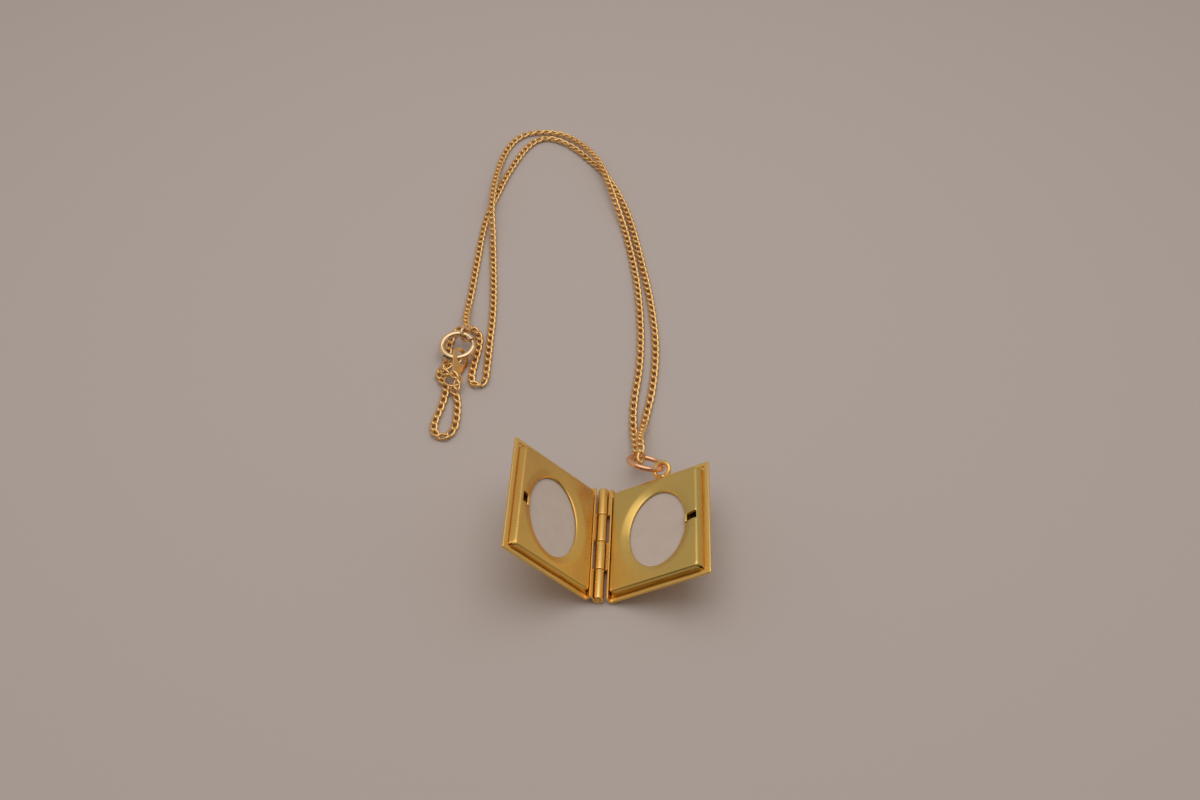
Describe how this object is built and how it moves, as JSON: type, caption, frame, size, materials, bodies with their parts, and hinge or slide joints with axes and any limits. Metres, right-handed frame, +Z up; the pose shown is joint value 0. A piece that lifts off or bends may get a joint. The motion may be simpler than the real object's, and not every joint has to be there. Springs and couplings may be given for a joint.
{
  "type": "book locket necklace",
  "caption": "Small gold locket hinged like a book, open to show an oval picture window in each leaf, on a fine curb chain with a spring ring clasp.",
  "frame": {"origin": "centre of the whole object's box in X and Y, on the surface it lies on", "axes": "+X to the right and +Y away from the viewer, from the open locket towards the far bend of the chain; +Z up"},
  "size_m": [0.0404, 0.115, 0.011],
  "materials": {
    "locket_gold": "satin polished",
    "ring_gold": "polished, slightly rosy",
    "clasp_gold": "polished",
    "chain_gold": "polished",
    "card": "matt paper"
  },
  "bodies": {
    "locket": {"cover_right": "locket_gold", "frame_right": "locket_gold", "card_right": "card", "hinge_pin": "locket_gold", "jump_ring": "ring_gold", "clasp_ring": "clasp_gold", "clasp_link": "clasp_gold", "end_tag": "clasp_gold", "end_ring": "clasp_gold", "chain": "chain_gold"},
    "left_leaf": {"cover_left": "locket_gold", "frame_left": "locket_gold", "card_left": "card"},
    "bolt": {"clasp_bolt": "clasp_gold"}
  },
  "joints": [
    {"name": "leaf_hinge", "type": "hinge", "parent": "locket", "child": "left_leaf", "pos_m": [0.00546, -0.04718, 0.00075], "axis": [0.0401, 0.9992, 0], "range_deg": [-72.8, 107]},
    {"name": "bolt_slide_round", "type": "hinge", "parent": "locket", "child": "bolt", "pos_m": [-0.01712, -0.0074, 0.002], "axis": [0, -0.165, 0.9863], "range_deg": [-36, 0], "stiffness_Nm_per_rad": 0.0005, "springref_deg": 11.46}
  ]
}
